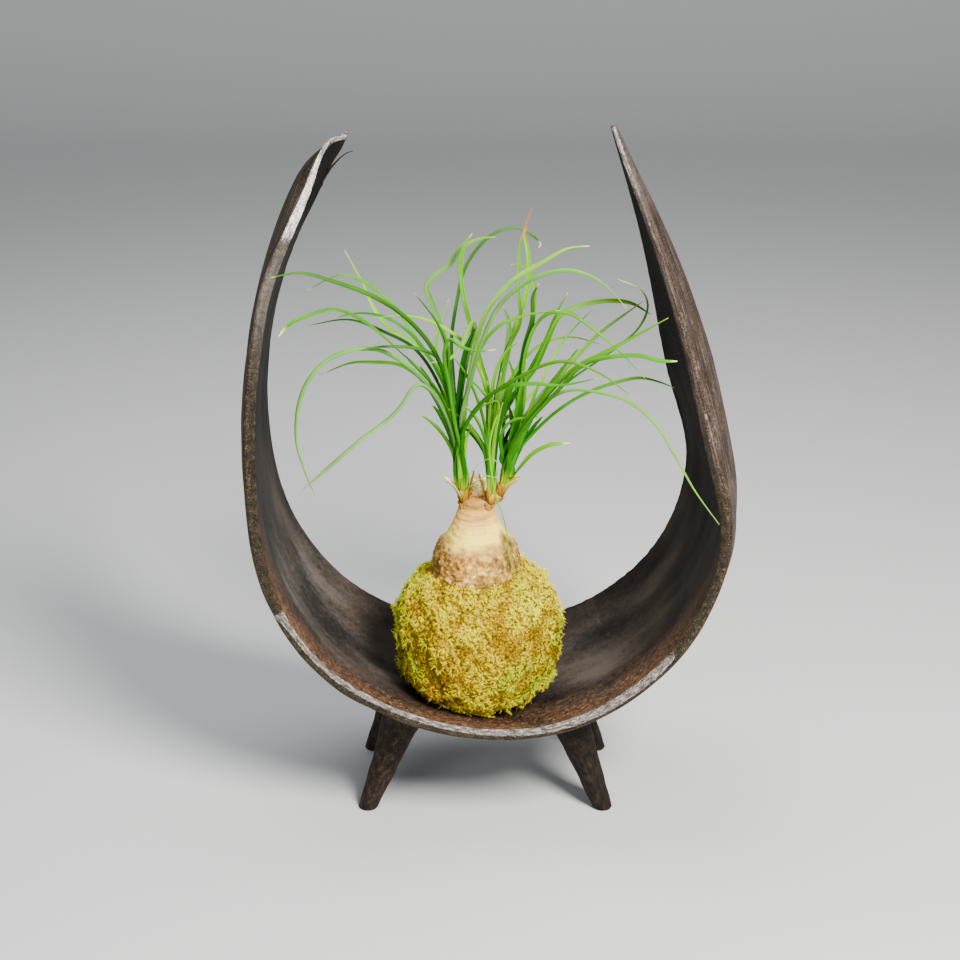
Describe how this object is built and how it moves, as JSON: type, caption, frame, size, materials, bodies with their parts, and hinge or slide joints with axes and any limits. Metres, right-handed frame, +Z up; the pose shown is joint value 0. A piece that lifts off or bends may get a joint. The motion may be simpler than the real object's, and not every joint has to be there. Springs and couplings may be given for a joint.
{
  "type": "potted ponytail palm",
  "caption": "Young ponytail palm with a swollen stem base and arching strap leaves, rooted in a moss ball that rests in a curved stoneware slab stand, open to front and back, on splayed feet.",
  "frame": {"origin": "under the middle of the whole part's bounding box, level with the flat bottoms of the feet", "axes": "+Z up, the long way of the part; +X to the right as seen from the open front, along the slab's curve; +Y from the open front towards the open back"},
  "size_m": [0.263, 0.1344, 0.3786],
  "materials": {
    "stoneware": "dark brown unglazed stoneware, matt, with a paler worn lip",
    "moss": "dry yellow-green cushion moss",
    "soil": "firm dark root ball, not seen",
    "bark": "pale tan corky bark with fine rings",
    "leaf": "fresh green, slightly glossy strap leaves",
    "husk": "dry papery brown leaf bases"
  },
  "bodies": {
    "root": {"crescent_stand": "stoneware", "moss_wrap": "moss", "soil_ball": "soil", "caudex": "bark", "leaf_tuft_left": "leaf", "leaf_tuft_middle": "leaf", "leaf_tuft_right": "leaf", "dry_sheath_left": "husk", "dry_sheath_middle": "husk", "dry_sheath_right": "husk"}
  },
  "joints": []
}
